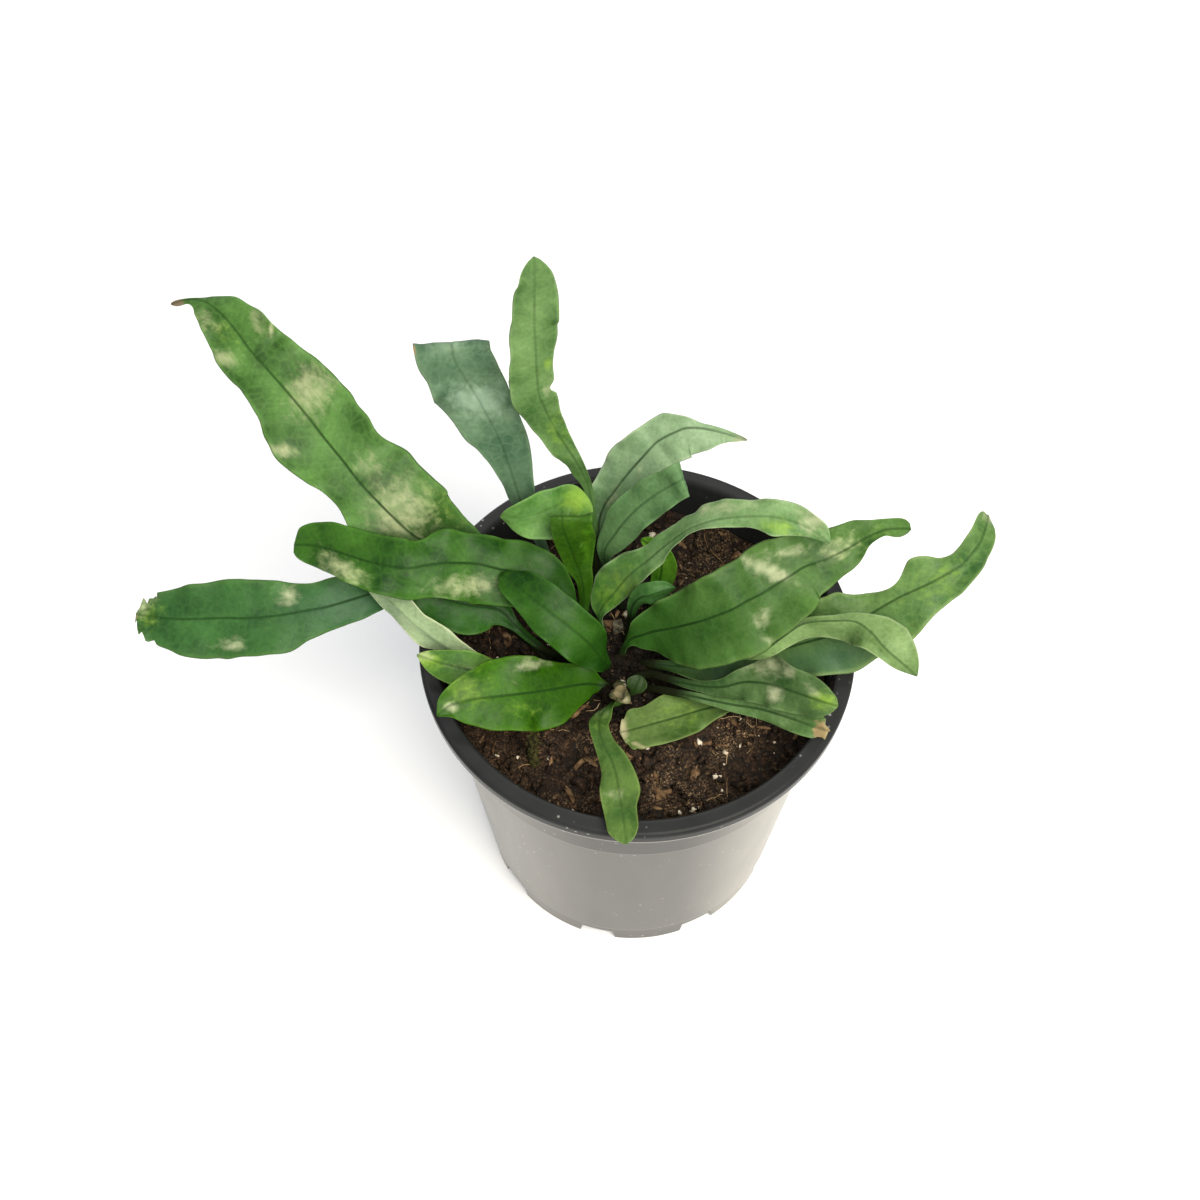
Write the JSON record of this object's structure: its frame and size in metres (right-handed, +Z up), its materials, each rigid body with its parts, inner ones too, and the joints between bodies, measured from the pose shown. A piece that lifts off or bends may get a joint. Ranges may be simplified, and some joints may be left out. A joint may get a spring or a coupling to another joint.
{
  "type": "potted kangaroo fern",
  "caption": "Kangaroo fern with waved strap fronds on a creeping rhizome, growing in a compost-filled black nursery pot with a rolled lip, stacking shoulder and notched foot.",
  "frame": {"origin": "centre of the pot's underside, on the surface that the pot stands on", "axes": "+Z up, -Y towards the front, +X to the right seen from the front"},
  "size_m": [0.2511, 0.144, 0.2291],
  "materials": {
    "pot_plastic": "moulded black plastic, softly glossy, with dust",
    "compost": "moist crumbly peat with perlite and bark",
    "rhizome_bark": "scaly brown stem",
    "bark": "dry weathered bark",
    "leaf_green": "leathery leaf, satin, with pale mottles",
    "leaf_dark": "leathery leaf, satin, dark",
    "leaf_bright": "leathery young leaf, satin",
    "leaf_bluish": "leathery leaf with a waxy bluish bloom",
    "leaf_pale": "leathery leaf, pale, satin",
    "leaf_dead": "dry papery leaf"
  },
  "bodies": {
    "root": {"pot_shell": "pot_plastic", "soil_core": "compost", "rhizome": "rhizome_bark", "stalk_stub": "rhizome_bark", "bark_chunk": "bark", "frond_left_long": "leaf_green", "frond_left_low": "leaf_dark", "frond_left_mid": "leaf_green", "frond_left_pale": "leaf_pale", "frond_left_inner": "leaf_dark", "frond_centre_dark": "leaf_dark", "frond_front_left": "leaf_bright", "frond_front_left_back": "leaf_bright", "frond_front_small": "leaf_green", "frond_front_right_dry": "leaf_green", "frond_right_low": "leaf_dark", "frond_right_dry_tip": "leaf_green", "frond_right_big": "leaf_green", "frond_right_far": "leaf_green", "frond_right_curled": "leaf_pale", "frond_back_right_arch": "leaf_pale", "frond_back_right_tall": "leaf_green", "frond_back_right_folded": "leaf_green", "frond_back_tall": "leaf_bright", "frond_back_bluish": "leaf_bluish", "frond_crown_arch": "leaf_bright", "frond_crown_upright": "leaf_bright", "frond_crown_curl": "leaf_bluish", "frond_crown_small": "leaf_bright", "round_leaf": "leaf_green", "dead_scrap": "leaf_dead"}
  },
  "joints": []
}
